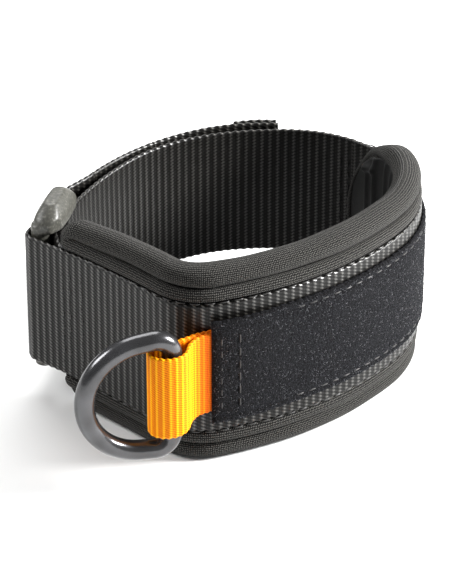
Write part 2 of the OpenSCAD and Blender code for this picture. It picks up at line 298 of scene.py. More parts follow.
# A dense flat cloth with a short nap: nearly even charcoal with a soft glow at grazing angles.
place = add(lining_cloth, "ShaderNodeAttribute", attribute_name="cloth")
nap = add(lining_cloth, "ShaderNodeTexNoise", {
    "Vector": place.outputs["Vector"], "Scale": 2.2, "Detail": 6.0})
tone = add(lining_cloth, "ShaderNodeValToRGB", {"Fac": nap.outputs["Fac"]})
ramp_stops(tone, [(0.3, "101010"), (0.7, "1A1A19")])
dent = add(lining_cloth, "ShaderNodeBump", {
    "Height": nap.outputs["Fac"], "Strength": 0.3, "Distance": 0.0001})
shader = add(lining_cloth, "ShaderNodeBsdfPrincipled", {
    "Base Color": tone.outputs["Color"], "Roughness": 0.62, "Specular IOR Level": 0.2, "Sheen Weight": 0.05,
    "Sheen Roughness": 0.35, "Normal": dent.outputs["Normal"]})
add(lining_cloth, "ShaderNodeOutputMaterial", {"Surface": shader.outputs["BSDF"]})

LINING_T = 0.6
FOLDS = [(118, 1.6, 0.5), (131, 1.3, 0.7), (142, 1.8, 0.9), (151, 1.2, 0.7), (160, 1.6, 1.0), (168, 1.1, 0.8),
         (175, 1.4, 1.1), (181, 1.0, 0.9)]


def lining_depth(s, z):
    """How far in from the plan the lining's face is: a low crown between its sewn edges, drawn in towards
    the pad's thin end, with upright folds that are bell curves across s and lean a little with height."""
    up = (z - MID_Z) / (PAD_HEIGHT / 2)
    crown = -6.7 - 0.9 * (1 - up ** 4) + 3.6 * smooth(PAD_TO - 16, PAD_TO, s)
    for at, width, height in FOLDS:
        lean = at + 3.0 * up * math.sin(at) + 1.2 * np.sin(3 * up + at)
        crown = crown - height * np.exp(-((s - lean) / width) ** 2) * (1 - up ** 6)
    return crown - 1.5 * np.exp(-((s - 179) / 6) ** 2 - ((z - 48.5 + 0.2 * (s - 179)) / 1.3) ** 2)


s = np.linspace(PAD_FROM + 3, PAD_TO - 2, 420)[:, None]
edge = np.sqrt(np.clip(1 - np.clip((s - (PAD_TO - 28)) / 26.2, 0, 1) ** 2, 0.0004, 1))
up = np.linspace(1, -1, 60)
up = np.concatenate([up, up[::-1]])[None, :]
half_z = (PAD_HEIGHT / 2 - 4.4) * edge
z = MID_Z + up * np.where(up < 0, np.minimum(half_z, MID_Z - low_corner(s, 4.4)), half_z)
face = np.where(np.arange(120) < 60, 0.0, LINING_T)[None, :]
pad_lining = loft("pad_lining", wall(s, lining_depth(s, z) + face, sag(s, z)), lining_cloth, cloth=(s, z))
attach(pad_lining, "cuff")
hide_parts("pad_lining")

# ---- Rolled edge ----
# A strip of the same knit, folded round the foam's edge as a soft roll and sewn through behind the piping.
# At the pad's free end the foam is skived, so the roll flattens into a thin lip against the strap.
ROLL_HIGH, ROLL_DEEP = 3.05, 4.0
SECTION = 40


def round_frame(s0, s1, z0, z1, r_low, r0, r1, step):
    """Centre line of a frame with round corners, of radius r_low and r0 below and above on the side of s0 and
    r1 on the side of s1, and its outward direction: four quarter circles, joined by runs in even steps."""
    corners = [(s1 - r1, z1 - r1, r1, 90), (s1 - r1, z0 + r1, r1, 0), (s0 + r_low, z0 + r_low, r_low, -90),
               (s0 + r0, z1 - r0, r0, -180)]
    rows = []
    for k, (cs, cz, r, a) in enumerate(corners):
        angle = np.radians(np.linspace(a, a - 90, int(r * 1.6 / step) + 6))
        c, q = np.cos(angle), np.sin(angle)
        rows.append(np.stack([cs + r * c, cz + r * q, c, q], -1))
        ns, nz, nr, na = corners[(k + 1) % 4]
        first = np.array([ns + nr * math.cos(math.radians(na)), nz + nr * math.sin(math.radians(na))])
        run = np.linalg.norm(first - rows[-1][-1, :2])
        part = np.linspace(0, 1, max(int(run / step), 2) + 1)[1:-1, None]
        rows.append(rows[-1][-1] + np.concatenate([first - rows[-1][-1, :2], [0, 0]]) * part)
    return np.concatenate(rows)


def under_webbing(s, d, z):
    """Distances d, pressed in under the webbing: no further out than its inner face, or its lapped end's."""
    limit = -HALF_T - 0.08 - WEB_T * (1 - smooth(LAP_TO - 1, LAP_TO + 2, s))
    under = smooth(WEB_W / 2 + 0.9, WEB_W / 2 + 0.1, np.abs(z - MID_Z))
    return d - np.maximum(d - limit, 0) * under


line = round_frame(PAD_FROM + 3.2, PAD_TO - 1.4, 3.05, PAD_HEIGHT - 3.05, 9.5, 3.6, 26.4, 0.7)
ls, lz, ns, nz = (line[:, k:k + 1] for k in range(4))
thin = smooth(PAD_TO - 26, PAD_TO - 4, ls)
turn = np.linspace(0, 2 * np.pi, SECTION, endpoint=False)[None, :]
high = ROLL_HIGH - 1.9 * thin
deep = ROLL_DEEP - 2.3 * thin
run = np.concatenate([[0], np.cumsum(np.hypot(np.diff(line[:, 0]), np.diff(line[:, 1])))])[:, None]
wobble = 0.12 * np.sin(run / 7.3) + 0.08 * np.sin(run / 3.1 + 1)
swell = np.sign(np.sin(turn)) * np.abs(np.sin(turn)) ** 0.9
s = ls + (high + wobble) * np.cos(turn) * ns
z = np.clip(lz + (high + wobble) * np.cos(turn) * nz, 0.02, PAD_HEIGHT + 0.3)
d = under_webbing(s, -3.75 + 0.9 * thin + deep * swell, z)
edge_binding = loft("edge_binding", wall(s, d, sag(s, z)), knit, ring=True, cloth=(run, turn * 3.6))
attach(edge_binding, "cuff")
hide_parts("edge_binding")

# ---- Piping ----
# Two knit strips with a thin cord inside, one above the webbing and one below it. Each covers the seam of
# the rolled edge, and its ends are tucked in under the webbing.
PIPE_HIGH, PIPE_DEEP = 2.15, 1.35


def piping(name, node, side):
    """A flat cord along the wall: an ellipse carried along s, with ends that shrink and tuck in."""
    s = np.linspace(PAD_FROM + 1.6, PAD_TO - 4.5, 330)[:, None]
    turn = np.linspace(0, 2 * np.pi, 24, endpoint=False)[None, :]
    closing = np.sqrt(np.clip(1 - ((1 - np.clip((s - PAD_FROM - 1.4) / 3, 0, 1)) ** 2), 0.01, 1))
    bend = np.clip((s - (PAD_TO - 27)) / 22.5, 0, 1)
    size = closing * (1 - 0.55 * bend)
    height = WEB_W / 2 + 2.3 - 14 * (1 - np.sqrt(1 - 0.96 * bend ** 2))
    z = MID_Z + side * (height + PIPE_HIGH * size * np.cos(turn)) + 0.1 * np.sin(s / 6.1 + side)
    d = -0.75 - 0.6 * bend + PIPE_DEEP * size * np.sin(turn)
    d = under_webbing(s, d, z)
    piece = loft(name, wall(s, d, z), knit, cloth=(s, turn * 1.8))
    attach(piece, "cuff")
    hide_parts(node)


piping("upper_piping", "upper_piping", 1)
piping("lower_piping", "lower_piping", -1)

# ---- Front webbing ----
# 40 mm nylon webbing, 1.4 mm thick, sewn round the outside of the pad. Its left end goes round the
# buckle's first bar and is lapped back behind itself, so that it holds the buckle in a loop.
nylon = new_material("black nylon webbing")
# Heavy bright filament yarn, dyed black. Its colour is painted from the weave's height: painted shade,
# nearly black, between the yarns and a painted highlight, pale grey, on each crown.
# The filaments are about 0.03 mm; they are drawn 0.2 mm apart.
place = add(nylon, "ShaderNodeAttribute", attribute_name="cloth")
crown = add(nylon, "ShaderNodeAttribute", attribute_name="relief_and_painted_light")
# Painted highlight and painted shade: the weave's height picks pale grey on the crowns and near black
# between.
tone = add(nylon, "ShaderNodeValToRGB", {"Fac": crown.outputs["Fac"]})
ramp_stops(tone, [(0.0, "111110"), (0.6, "1B1A19"), (0.92, "33322F"), (1.0, "96938C")])
drift = add(nylon, "ShaderNodeTexNoise", {"Vector": place.outputs["Vector"], "Scale": 0.35, "Detail": 4.0})
shade = add(nylon, "ShaderNodeMix", {
    "Factor": drift.outputs["Fac"], "A": linear("FFFFFF"), "B": linear("A8A6A2")}, data_type="RGBA")
colour = add(nylon, "ShaderNodeMix", {
    "Factor": 1.0, "A": tone.outputs["Color"], "B": shade.outputs["Result"]},
    data_type="RGBA", blend_type="MULTIPLY")
strands_at = add(nylon, "ShaderNodeMapping", {"Vector": place.outputs["Vector"], "Scale": (1.2, 5, 1)})
strands = add(nylon, "ShaderNodeTexNoise", {
    "Vector": strands_at.outputs["Vector"], "Scale": 1.0, "Detail": 3.0})
dent = add(nylon, "ShaderNodeBump", {"Height": strands.outputs["Fac"], "Strength": 0.45, "Distance": 0.00012})
gloss = add(nylon, "ShaderNodeMapRange", {
    "Value": crown.outputs["Fac"], "From Min": 0.5, "From Max": 1.0, "To Min": 0.16, "To Max": 0.85})
shader = add(nylon, "ShaderNodeBsdfPrincipled", {
    "Base Color": colour.outputs["Result"], "Roughness": 0.34, "Specular IOR Level": gloss.outputs["Result"],
    "Normal": dent.outputs["Normal"]})
add(nylon, "ShaderNodeOutputMaterial", {"Surface": shader.outputs["BSDF"]})

KEEPER_S = 3.0
WRAP_R = 3.7
RIB = 2.35
YARN = 1.08
RIB_RISE = 0.24


def weave(t, z, rib, yarn):
    """Height of the weave from 0 to 1: slanted beads, one every yarn across the strap and every rib along it,
    each the top sqrt(1 - u^2 - v^2) of an ellipse, and lower beads half a step off between them."""
    def beads(t, z, wide, tall):
        row = z / yarn
        v = row - np.floor(row) - 0.5
        u = t / rib + 0.3 * v
        u = u - np.floor(u) - 0.5
        return np.sqrt(np.clip(1 - (u / wide) ** 2 - (v / tall) ** 2, 0, 1))
    return np.maximum(beads(t, z, 0.34, 0.62), 0.62 * beads(t + rib / 2, z + yarn / 2, 0.3, 0.6))


def strap(name, x, y, h, t, material, width=WEB_W, thick=WEB_T, rib=RIB, yarn=YARN, rise=RIB_RISE, shade=1.0):
    """Webbing on edge along a path, given as x, y and heading at distances t. Its section is a thin rectangle
    with round selvages, its two faces carry the weave's height, and the ribs push the selvages out in small
    waves. The weave's height also sets the colour's painted highlight and painted shade, and shade is painted
    shade that darkens the weave's colour along the path."""
    yarns = 2 * round(width / yarn / 2 - 0.5) + 1
    yarn = width / yarns
    half = np.linspace(1, -1, 3 * yarns + 1)
    across = np.concatenate([half, half[::-1]])[None, :]
    face = np.where(np.arange(across.size) < half.size, 1.0, -1.0)[None, :]
    t = t[:, None]
    z = across * width / 2
    high = weave(t + np.where(face > 0, 0, rib / 2), z, rib, yarn)
    inset = np.clip((np.abs(z) - (width / 2 - 0.8)) / 0.8, 0, 1)
    off = face * (thick / 2 - rise * 0.5 + rise * (high - 0.5)) * np.sqrt(1 - 0.82 * inset ** 2)
    wave = 0.13 * np.sin(2 * np.pi * t / rib) + 0.2 * np.sin(t / 9.0 + np.sign(z))
    z = z + np.sign(across) * np.abs(across) ** 12 * wave
    x, y, h = x[:, None], y[:, None], h[:, None]
    points = np.stack(np.broadcast_arrays(x + off * np.sin(h), y - off * np.cos(h), z + MID_Z), -1) * MM
    # Painted light: the weave's height, raised a little along the selvages and times the painted shade, is
    # kept for the colour's painted highlight on the crowns and painted shade between them.
    bright = np.clip(high + 0.1 * inset, 0, 1) * shade
    return loft(name, points, material, cloth=(t, z), relief_and_painted_light=bright)


def path_of(*runs):
    """Runs of points (x, y) in mm, joined and cut into even steps: their x, y, heading and distance."""
    xy = np.concatenate(runs)
    gap = np.hypot(*np.diff(xy, axis=0).T)
    keep = np.concatenate([[True], gap > 1e-4])
    xy = xy[keep]
    t = np.concatenate([[0], np.cumsum(np.hypot(*np.diff(xy, axis=0).T))])
    even = np.linspace(0, t[-1], round(t[-1] / RIB * 6) + 1)
    x, y = np.interp(even, t, xy[:, 0]), np.interp(even, t, xy[:, 1])
    dx, dy = np.gradient(x), np.gradient(y)
    return x, y, np.unwrap(np.arctan2(dy, dx)), even


def beside(s, d):
    """Points (x, y) in mm at distances s along the plan and d outside it."""
    s, d = np.broadcast_arrays(np.asarray(s, float), d)
    x, y, h = plan(s)
    return np.stack([x + d * np.sin(h), y - d * np.cos(h)], -1)


keeper = beside(KEEPER_S, -WRAP_R)
keeper_h = float(plan(KEEPER_S)[2])
lap = beside(PAD_FROM, -WEB_T)
reach = lap - keeper
lap_side = math.atan2(reach[1], reach[0]) + math.acos(WRAP_R / math.hypot(*reach))
angle = np.linspace(lap_side - 2 * np.pi, keeper_h - np.pi / 2, 60)
turned = keeper + WRAP_R * np.stack([np.cos(angle), np.sin(angle)], -1)
lapped = beside(np.linspace(LAP_TO, PAD_FROM, 20), -WEB_T)
front = beside(np.linspace(KEEPER_S, PAD_TO, 400), 0.0)
x, y, h, t = path_of(lapped, turned, front)
front_webbing = strap("front_webbing", x, y, h, t, nylon)
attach(front_webbing, "cuff")
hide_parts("front_webbing")

# ---- Closure strap ----
# The same webbing goes on past the pad as a free strap, round the buckle's second bar and back on itself.
TURN_S = 297.0
LOOP_TO = 282.0
LOOP_T = 1.2
TAIL_D = HALF_T + LOOP_T + 0.3 + 0.8 + HALF_T
STRAP_CUT = 288.0


def tail_offset(s):
    """How far outside the plan the tail lies: level over the loops, rising to the turn at the buckle."""
    return TAIL_D + (2 * WRAP_R - TAIL_D) * smooth(LOOP_TO - 6, TURN_S, s)


bar = beside(TURN_S, WRAP_R)
turn_h = float(plan(TURN_S)[2])
angle = np.linspace(turn_h + np.pi / 2, turn_h - np.pi / 2, 50)
round_bar = bar + WRAP_R * np.stack([np.cos(angle), np.sin(angle)], -1)
inner_leg = beside(np.linspace(PAD_TO, TURN_S, 240), 0.0)
back = np.linspace(TURN_S, STRAP_CUT, 30)
outer_leg = beside(back, tail_offset(back))
x, y, h, t = path_of(inner_leg, round_bar, outer_leg)
closure_strap = strap("closure_strap", x, y, h, t, nylon)
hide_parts("closure_strap", "strap_turn")
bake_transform(closure_strap)

# ---- Tail ----
# The strap's free end, pressed on to the loop panel from outside. It is made in three stretches, one piece
# each. Its tip is folded over twice and sewn down as a grip.
TAIL_TIP = 215.5
SPLITS = (264.0, 240.0)


def hinge(s):
    """The fold line of the tail at distance s, on its outer face, in mm."""
    return beside(s, tail_offset(s) + HALF_T)


def tail_piece(name, node, s_from, s_to, fold):
    """One stretch of the tail, from s_from back to s_to. Its hinge points 2 mm either side of fold are worked
    out and not used.
    """
    stops = np.linspace(s_from, s_to, int(abs(s_from - s_to) / 0.5) + 2)
    x, y, h, t = path_of(beside(stops, tail_offset(stops)))
    piece = strap(name, x, y, h, t + (STRAP_CUT - s_from), nylon)
    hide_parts(node)
    a, b = hinge(fold + 2), hinge(fold - 2)
    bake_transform(piece)


tail_piece("tail_near", "tail_near", STRAP_CUT, 276.0, STRAP_CUT - 2)
tail_piece("tail_middle", "tail_middle", 276.0, 252.0, SPLITS[0])
tail_piece("tail_end", "tail_end", 252.0, TAIL_TIP, SPLITS[1])

HEM_L = 12.0
stops = np.linspace(TAIL_TIP + HEM_L, TAIL_TIP + 0.6, 30)
rise = TAIL_D + WEB_T * (0.95 + 0.25 * np.sin(np.pi * (stops - TAIL_TIP) / HEM_L))
folded = beside(stops, rise)
x, y, h, t = path_of(folded)
hem = strap("tail_hem", x, y, h, t, nylon, thick=1.5)
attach(hem, "tail_end")
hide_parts("tail_hem")


# ---- Loop panel ----
# Brushed nylon loop tape, 32 mm wide, sewn round the outside from the tab to the buckle, so that the tail
# can be pressed on anywhere along it. Its pile is a mat of fine curled filaments.
pile = new_material("brushed nylon loop tape")
# Black filament curls that scatter light as a soft haze, with painted glints: where the noise runs high,
# single curls are painted pale grey.
place = add(pile, "ShaderNodeAttribute", attribute_name="cloth")
curls = add(pile, "ShaderNodeTexNoise", {
    "Vector": place.outputs["Vector"], "Scale": 2.6, "Detail": 8.0, "Roughness": 0.8})
# Painted highlight: the highest noise is painted pale grey as glints on single curls.
tone = add(pile, "ShaderNodeValToRGB", {"Fac": curls.outputs["Fac"]})
ramp_stops(tone, [(0.42, "060606"), (0.54, "121213"), (0.66, "4A4A4F")])
dent = add(pile, "ShaderNodeBump", {"Height": curls.outputs["Fac"], "Strength": 1.0, "Distance": 0.0006})
shader = add(pile, "ShaderNodeBsdfPrincipled", {
    "Base Color": tone.outputs["Color"], "Roughness": 0.85, "Specular IOR Level": 0.08,
    "Sheen Weight": 0.06, "Sheen Roughness": 0.3, "Sheen Tint": linear("C8CCE0"),
    "Normal": dent.outputs["Normal"]})
add(pile, "ShaderNodeOutputMaterial", {"Surface": shader.outputs["BSDF"]})

filament = new_material("nylon pile filament")
# Clear-dyed monofilament, dark in itself: its pale grey colour is a painted glint, with a narrow gloss
# besides.
shader = add(filament, "ShaderNodeBsdfPrincipled", {"Base Color": linear("85868B"), "Roughness": 0.3})
add(filament, "ShaderNodeOutputMaterial", {"Surface": shader.outputs["BSDF"]})

TAB_FROM, TAB_TO = 65.4, 75.0
TAB_PACK = 1.6
LOOP_W = 32.0
rng = np.random.default_rng(7)


def panel_lift(s):
    """How far the panel stands off the webbing: over the tab's sewn root, and level past it."""
    return TAB_PACK * (1 - smooth(TAB_FROM + 1, TAB_TO + 18, s))


def tubes(name, lines, up, radius, material, sides=3):
    """Many short tubes as one mesh. lines is (tubes, points, 3) and up a direction for each point. Each ring
    is point + radius (side cos a + over sin a), where side is tangent x up and over is side x tangent."""
    n, k = lines.shape[:2]
    tangent = np.gradient(lines, axis=1)
    side = np.cross(tangent, np.broadcast_to(up, lines.shape))
    side /= np.linalg.norm(side, axis=-1, keepdims=True) + 1e-12
    over = np.cross(side, tangent)
    over /= np.linalg.norm(over, axis=-1, keepdims=True) + 1e-12
    a = np.linspace(0, 2 * np.pi, sides, endpoint=False)[:, None]
    radius = np.broadcast_to(radius, (k,))[None, :, None, None]
    points = lines[:, :, None] + radius * (side[:, :, None] * np.cos(a) + over[:, :, None] * np.sin(a))
    index = np.arange(n * k * sides).reshape(n, k, sides)
    here, ahead = index[:, :-1], index[:, 1:]
    quads = np.stack([here, np.roll(here, -1, 2), np.roll(ahead, -1, 2), ahead], -1).reshape(-1, 4)
    ends = index[:, 0, ::-1].tolist() + index[:, -1].tolist()
    return make_piece(name, points, quads, material, more_faces=ends)


s = np.linspace(TAB_FROM, LOOP_TO, 620)[:, None]
half = np.linspace(1, -1, 60)
across = np.concatenate([half, half[::-1]])[None, :]
face = np.where(np.arange(120) < 60, 1.0, 0.0)[None, :]
z = across * LOOP_W / 2
edge = np.clip((np.abs(z) - (LOOP_W / 2 - 1.2)) / 1.2, 0, 1)
first = np.clip((TAB_FROM + 1.2 - s) / 1.2, 0, 1)
rough = rng.normal(0, 0.075, (620, 120)) * face
sewn = 0.45 * np.exp(-((np.abs(z) - (LOOP_W / 2 - 2)) / 0.55) ** 2)
thick = LOOP_T * np.sqrt(1 - 0.7 * np.maximum(edge, first) ** 2) - sewn
d = HALF_T + 0.05 + panel_lift(s) + face * (thick - 0.05) + rough
z = z + np.sign(across) * np.abs(across) ** 20 * (0.12 * np.sin(s * 2.3) + 0.1 * np.sin(s * 5.1))
loop_panel = loft("loop_panel", wall(s, d, MID_Z + z), pile, cloth=(s, z))
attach(loop_panel, "cuff")
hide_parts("loop_panel")

CURLS = 7000
at_s = rng.uniform(TAB_FROM + 0.5, LOOP_TO - 0.5, CURLS)[:, None]
at_z = rng.uniform(-LOOP_W / 2 + 0.4, LOOP_W / 2 - 0.4, CURLS)[:, None]
heading = rng.uniform(0, 2 * np.pi, CURLS)[:, None]
size = rng.uniform(0.1, 0.26, CURLS)[:, None]
sweep = np.linspace(0, np.pi, 5)[None, :]
lean = rng.uniform(-0.5, 0.5, CURLS)[:, None]
flat = size * np.cos(sweep)
tall = 0.75 * size * np.sin(sweep)
s = at_s + flat * np.cos(heading) - lean * tall * np.sin(heading)
z = at_z + flat * np.sin(heading) + lean * tall * np.cos(heading)
under_stitch = 0.45 * np.exp(-((np.abs(at_z) - (LOOP_W / 2 - 2)) / 0.55) ** 2)
d = HALF_T + LOOP_T + panel_lift(at_s) + tall - 0.12 - under_stitch
_, _, h = plan(at_s)
outward = np.stack([np.sin(h), -np.cos(h), np.zeros_like(h)], -1)
loop_curls = tubes("loop_curls", wall(s, d, MID_Z + z), outward, 0.03 * MM, filament)
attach(loop_curls, "cuff")

# ---- Hook patches ----
# Moulded nylon hook tape, sewn to the inner face of the tail. Each hook is a small bent bristle.
hook_tape = new_material("moulded nylon hook tape")
# Stiff extruded nylon with a waxy gloss.
shader = add(hook_tape, "ShaderNodeBsdfPrincipled", {"Base Color": linear("232324"), "Roughness": 0.38})
add(hook_tape, "ShaderNodeOutputMaterial", {"Surface": shader.outputs["BSDF"]})
HOOK_BASE = 0.35
HOOK_PITCH = 1.3


def hook_patch(name, s_from, s_to, body):
    """A thin strip under the tail with rows of hooks: each rises 0.4 mm towards the loops and bends over."""
    s = np.linspace(s_from, s_to, 40)[:, None]
    half = np.linspace(1, -1, 20)
    across = np.concatenate([half, half[::-1]])[None, :]
    face = np.where(np.arange(40) < 20, 0.0, 1.0)[None, :]
    top = TAIL_D - HALF_T
    strip = loft(name, wall(s, top - HOOK_BASE * face, MID_Z + across * (LOOP_W / 2 - 1)), hook_tape)
    rows, columns = np.meshgrid(np.arange(s_from + 0.8, s_to - 0.6, HOOK_PITCH),
                                np.arange(-LOOP_W / 2 + 2, LOOP_W / 2 - 1.8, HOOK_PITCH))
    at_s, at_z = rows.reshape(-1, 1), columns.reshape(-1, 1)
    bend = np.linspace(0, 1, 4)[None, :]
    s = at_s + 0.28 * bend ** 2
    d = top - HOOK_BASE - 0.42 * np.sin(bend * 2.0)
    _, _, h = plan(at_s)
    side = np.stack([np.cos(h), np.sin(h), np.zeros_like(h)], -1)
    hooks = tubes(name + "_bristles", wall(s, d, MID_Z + at_z + 0 * bend), side, 0.09 * MM, hook_tape)
    for piece in (strip, hooks):
        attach(piece, body)
    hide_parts(name)


hook_patch("hook_near", 264.6, 273.0, "tail_near")
hook_patch("hook_middle", 240.6, 263.4, "tail_middle")
hook_patch("hook_end", 218.5, 239.4, "tail_end")

# ---- Ring tab ----
# A loop of 25 mm orange webbing whose two ends are sewn flat under the loop panel. Its lighter weave has
# ribs 1.7 mm apart. It holds the D-ring's straight bar.
orange = new_material("orange nylon webbing")
# Bright filament yarn in a strong orange. Its colour is painted from the weave's height: a painted highlight,
# yellow, on each crown and painted shade, red-orange, in the hollows and towards the sewn root.
place = add(orange, "ShaderNodeAttribute", attribute_name="cloth")
crown = add(orange, "ShaderNodeAttribute", attribute_name="relief_and_painted_light")
# Painted highlight and painted shade: the weave's height, dimmed near the root, picks yellow or red-orange.
tone = add(orange, "ShaderNodeValToRGB", {"Fac": crown.outputs["Fac"]})
ramp_stops(tone, [(0.0, "AC3400"), (0.45, "E67A00"), (0.8, "F49C00"), (1.0, "FFCC20")])
strands_at = add(orange, "ShaderNodeMapping", {"Vector": place.outputs["Vector"], "Scale": (1.2, 5, 1)})
strands = add(orange, "ShaderNodeTexNoise", {
    "Vector": strands_at.outputs["Vector"], "Scale": 1.0, "Detail": 3.0})
dent = add(orange, "ShaderNodeBump", {"Height": strands.outputs["Fac"], "Strength": 0.4, "Distance": 0.0001})
shader = add(orange, "ShaderNodeBsdfPrincipled", {
    "Base Color": tone.outputs["Color"], "Roughness": 0.6, "Specular IOR Level": 0.12,
    "Normal": dent.outputs["Normal"]})
add(orange, "ShaderNodeOutputMaterial", {"Surface": shader.outputs["BSDF"]})

TAB_W, TAB_T = 25.0, 1.3
TAB_S = 63.0
TAB_HEADING = math.radians(221)
TAB_LENGTHS = np.array([9.8, 9.6, 11.2, 6.4])
TAB_TURNS = np.radians([-32.0, 144, 111, -35])
ROOT_REACH, ROOT_HALF_GAP = 1.8, 0.7
tab_hinge = beside(TAB_S, 2.4)
tab_out = np.array([math.cos(TAB_HEADING), math.sin(TAB_HEADING)])
tab_side = np.array([math.sin(TAB_HEADING), -math.cos(TAB_HEADING)])
root = tab_hinge + ROOT_REACH * tab_out
root = root + ROOT_HALF_GAP * tab_side
loop_x, loop_y, _ = along_chain((*root, TAB_HEADING), TAB_LENGTHS, TAB_TURNS,
                                np.linspace(0, TAB_LENGTHS.sum(), 120))
sewn = np.linspace(TAB_FROM + 5, TAB_FROM + 0.5, 12)
inner_root, outer_root = beside(sewn, HALF_T + 0.45), beside(sewn[::-1], HALF_T + 1.25)
x, y, h, t = path_of(inner_root, np.stack([loop_x, loop_y], -1), outer_root)
kernel = np.hanning(9) / np.hanning(9).sum()
x[4:-4], y[4:-4] = np.convolve(x, kernel, "valid"), np.convolve(y, kernel, "valid")
h = np.unwrap(np.arctan2(np.gradient(y), np.gradient(x)))
fine = np.linspace(0, t[-1], 2 * len(t))
x, y, h = (np.interp(fine, t, v) for v in (x, y, h))
# Painted shade: the weave's colour darkens to red-orange within 15 mm of both ends, towards the sewn root.
painted_root_shade = 0.3 + 0.7 * smooth(5, 15, np.minimum(fine, fine[-1] - fine))[:, None]
ring_tab = strap("ring_tab", x, y, h, fine, orange, width=TAB_W, thick=TAB_T, rib=1.7, yarn=0.7, rise=0.22,
                 shade=painted_root_shade)
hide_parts("ring_tab", "tab_anchor")
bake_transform(ring_tab)

# ---- D-ring ----
# 5.5 mm steel wire, bent to a D with its ends butt-welded in the middle of the straight bar, then coated.
coated = new_material("black-coated steel wire")
# A thin smooth coat over bright steel: dark grey, with broad soft reflections and a fine orange peel.
place = add(coated, "ShaderNodeTexCoord")
peel = add(coated, "ShaderNodeTexNoise", {"Vector": place.outputs["Object"], "Scale": 900.0, "Detail": 2.0})
dent = add(coated, "ShaderNodeBump", {"Height": peel.outputs["Fac"], "Strength": 0.08, "Distance": 0.0003})
wear = add(coated, "ShaderNodeTexNoise", {"Vector": place.outputs["Object"], "Scale": 120.0, "Detail": 5.0})
tone = add(coated, "ShaderNodeValToRGB", {"Fac": wear.outputs["Fac"]})
ramp_stops(tone, [(0.35, "4C4C4D"), (0.7, "5E5E60")])
shader = add(coated, "ShaderNodeBsdfPrincipled", {
    "Base Color": tone.outputs["Color"], "Metallic": 0.8, "Roughness": 0.22,
    "Normal": dent.outputs["Normal"]})
add(coated, "ShaderNodeOutputMaterial", {"Surface": shader.outputs["BSDF"]})

WIRE_R = 2.75
RING_H = 34.0
RING_DROP = 0.8
CORNER_R = 5.0
ARM_L, ARM_TAPER = 3.5, math.radians(5)
RING_HEADING = math.radians(197)
bar_place = tab_hinge + np.array([-7.6, -8.0])
bow_z = RING_H / 2 - CORNER_R * (1 - math.cos(ARM_TAPER)) - ARM_L * math.sin(ARM_TAPER)
bow_turn = math.pi - 2 * ARM_TAPER
bow_l = bow_z / math.cos(ARM_TAPER) * bow_turn
corner_turn = math.pi / 2 + ARM_TAPER
corner_l = CORNER_R * corner_turn
lengths = np.array([RING_H - 2 * CORNER_R, corner_l, ARM_L, bow_l, ARM_L, corner_l])
STRAIGHT = 1e-6
turns = -np.array([STRAIGHT, corner_turn, STRAIGHT, bow_turn, STRAIGHT, corner_turn])
t = np.linspace(0, lengths.sum(), 260, endpoint=False)
u, w, h = along_chain((0, -(RING_H / 2 - CORNER_R), math.pi / 2), lengths, turns, t)
a = np.linspace(0, 2 * np.pi, 36, endpoint=False)[None, :]
u, w, h = u[:, None], w[:, None], h[:, None]
reach = u + WIRE_R * np.cos(a) * np.sin(h)
z = MID_Z - RING_DROP + w - WIRE_R * np.cos(a) * np.cos(h)
side = WIRE_R * np.sin(a) + 0 * h
x = bar_place[0] + reach * math.cos(RING_HEADING) - side * math.sin(RING_HEADING)
y = bar_place[1] + reach * math.sin(RING_HEADING) + side * math.cos(RING_HEADING)
d_ring = loft("d_ring", np.stack([x, y, z], -1) * MM, coated, ring=True)
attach(d_ring, "ring")
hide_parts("d_ring")

# ---- Buckle ----
# A moulded plastic loop: two bars that the webbing goes round, joined by a thick bevelled head above the
# webbing and a slim foot below it. It is one moulding in tough black nylon with a fine grain.
moulded = new_material("moulded black nylon, satin grain")
# A satin grain about 0.4 mm across, with paler scuffs about twice that size from handling.
place = add(moulded, "ShaderNodeTexCoord")
grain = add(moulded, "ShaderNodeTexNoise", {
    "Vector": place.outputs["Object"], "Scale": 2600.0, "Detail": 4.0})
scuff = add(moulded, "ShaderNodeTexNoise", {
    "Vector": place.outputs["Object"], "Scale": 1400.0, "Detail": 6.0})
tone = add(moulded, "ShaderNodeValToRGB", {"Fac": scuff.outputs["Fac"]})
ramp_stops(tone, [(0.34, "3A3A35"), (0.56, "4A4943"), (0.76, "74736B")])
dent = add(moulded, "ShaderNodeBump", {"Height": grain.outputs["Fac"], "Strength": 0.5, "Distance": 0.00008})
shader = add(moulded, "ShaderNodeBsdfPrincipled", {
    "Base Color": tone.outputs["Color"], "Roughness": 0.4, "Normal": dent.outputs["Normal"]})
add(moulded, "ShaderNodeOutputMaterial", {"Surface": shader.outputs["BSDF"]})

BAR_R = 2.7
HEAD_H, HEAD_R, HEAD_IN = 7.0, 4.2, 1.8
FOOT_H = 2.2
SLOT_HALF = WEB_W / 2 + 0.5
span = bar - keeper
bar_span = math.hypot(*span)
span_x = span / bar_span
span_y = np.array([-span_x[1], span_x[0]])


def on_buckle(u, v, z):
    """Points in metres from places along the buckle, across it and up."""
    u, v, z = np.broadcast_arrays(u, v, z)
    x = keeper[0] + u * span_x[0] + v * span_y[0]
    y = keeper[1] + u * span_x[1] + v * span_y[1]
    return np.stack([x, y, z], -1) * MM


